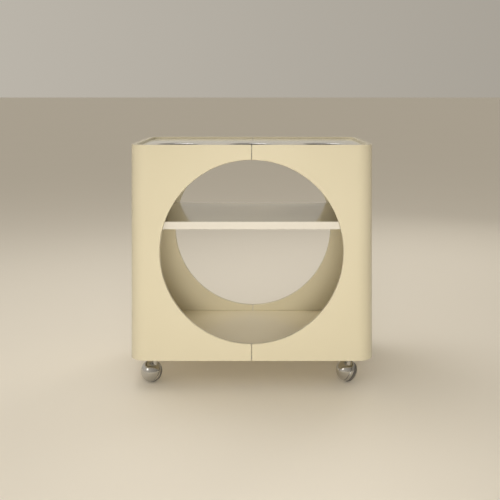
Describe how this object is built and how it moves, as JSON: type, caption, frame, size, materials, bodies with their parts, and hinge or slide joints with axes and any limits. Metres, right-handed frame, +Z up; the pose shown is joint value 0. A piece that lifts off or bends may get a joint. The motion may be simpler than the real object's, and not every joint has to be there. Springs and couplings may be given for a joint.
{
  "type": "serving trolley",
  "caption": "Box-shaped serving trolley of two half shells with round openings front and rear, a shelf, a top with bottle wells, and ball casters.",
  "frame": {"origin": "on the ground under the middle of the body", "axes": "+Z up, front opening facing -Y, +X to the right seen from the front"},
  "size_m": [0.612, 0.4, 0.608],
  "materials": {
    "cream_lacquer": "smooth satin-gloss cream lacquer",
    "white_laminate_top": "glossy off-white laminate",
    "white_laminate": "glossy off-white laminate on board",
    "white_edging": "white plastic edging",
    "cream_panel": "satin cream lacquer on board",
    "well_chrome": "polished",
    "screw_steel": "zinc plated",
    "beech": "planed",
    "zinc_steel": "zinc plated",
    "brass": "turned",
    "pin_steel": "nickel plated",
    "tread_rubber": "matte",
    "plate_steel": "bright zinc plated",
    "axle_steel": "turned",
    "caster_chrome": "polished"
  },
  "bodies": {
    "cart": {"top_panel": "white_laminate_top", "shelf": "white_laminate", "floor_panel": "cream_panel", "bottle_well_left": "well_chrome", "bottle_well_centre": "well_chrome", "bottle_well_right": "well_chrome", "shell_left": "cream_lacquer", "shell_right": "cream_lacquer", "shelf_sleeves_left": "brass", "shelf_sleeves_right": "brass", "shelf_pins_left": "pin_steel", "shelf_pins_right": "pin_steel", "top_cleat_left": "beech", "top_cleat_right": "beech", "top_cleat_screws_left": "screw_steel", "top_cleat_screws_right": "screw_steel", "floor_cleat_left": "beech", "floor_cleat_right": "beech", "floor_cleat_screws_left": "screw_steel", "floor_cleat_screws_right": "screw_steel", "shelf_edging_front": "white_edging", "shelf_edging_rear": "white_edging", "upper_seam_bar_front": "zinc_steel", "upper_seam_bar_rear": "zinc_steel", "upper_seam_screws_front": "screw_steel", "upper_seam_screws_rear": "screw_steel", "lower_seam_bar_front": "zinc_steel", "lower_seam_bar_rear": "zinc_steel", "lower_seam_screws_front": "screw_steel", "lower_seam_screws_rear": "screw_steel", "caster_plate_front_left": "plate_steel", "caster_plate_front_right": "plate_steel", "caster_plate_rear_left": "plate_steel", "caster_plate_rear_right": "plate_steel", "caster_screws_front_left": "screw_steel", "caster_screws_front_right": "screw_steel", "caster_screws_rear_left": "screw_steel", "caster_screws_rear_right": "screw_steel"},
    "swivel_front_left": {"caster_hood_front_left": "caster_chrome", "caster_axle_front_left": "axle_steel"},
    "wheel_front_left": {"caster_wheel_front_left": "caster_chrome", "caster_tread_front_left": "tread_rubber"},
    "swivel_front_right": {"caster_hood_front_right": "caster_chrome", "caster_axle_front_right": "axle_steel"},
    "wheel_front_right": {"caster_wheel_front_right": "caster_chrome", "caster_tread_front_right": "tread_rubber"},
    "swivel_rear_left": {"caster_hood_rear_left": "caster_chrome", "caster_axle_rear_left": "axle_steel"},
    "wheel_rear_left": {"caster_wheel_rear_left": "caster_chrome", "caster_tread_rear_left": "tread_rubber"},
    "swivel_rear_right": {"caster_hood_rear_right": "caster_chrome", "caster_axle_rear_right": "axle_steel"},
    "wheel_rear_right": {"caster_wheel_rear_right": "caster_chrome", "caster_tread_rear_right": "tread_rubber"}
  },
  "joints": [
    {"name": "swivel_front_left", "type": "hinge", "parent": "cart", "child": "swivel_front_left", "pos_m": [-0.246, -0.16, 0.068], "axis": [0, 0, 1], "continuous": true},
    {"name": "roll_front_left", "type": "hinge", "parent": "swivel_front_left", "child": "wheel_front_left", "pos_m": [-0.25672, -0.151, 0.0275], "axis": [0.5675, 0.6764, -0.4695], "continuous": true},
    {"name": "swivel_front_right", "type": "hinge", "parent": "cart", "child": "swivel_front_right", "pos_m": [0.246, -0.16, 0.068], "axis": [0, 0, 1], "continuous": true},
    {"name": "roll_front_right", "type": "hinge", "parent": "swivel_front_right", "child": "wheel_front_right", "pos_m": [0.24309, -0.14631, 0.0275], "axis": [0.8637, 0.1836, -0.4695], "continuous": true},
    {"name": "swivel_rear_left", "type": "hinge", "parent": "cart", "child": "swivel_rear_left", "pos_m": [-0.246, 0.16, 0.068], "axis": [0, 0, 1], "continuous": true},
    {"name": "roll_rear_left", "type": "hinge", "parent": "swivel_rear_left", "child": "wheel_rear_left", "pos_m": [-0.253, 0.14788, 0.0275], "axis": [-0.7647, 0.4415, -0.4695], "continuous": true},
    {"name": "swivel_rear_right", "type": "hinge", "parent": "cart", "child": "swivel_rear_right", "pos_m": [0.246, 0.16, 0.068], "axis": [0, 0, 1], "continuous": true},
    {"name": "roll_rear_right", "type": "hinge", "parent": "swivel_rear_right", "child": "wheel_rear_right", "pos_m": [0.25403, 0.14853, 0.0275], "axis": [-0.7233, -0.5064, -0.4695], "continuous": true}
  ]
}
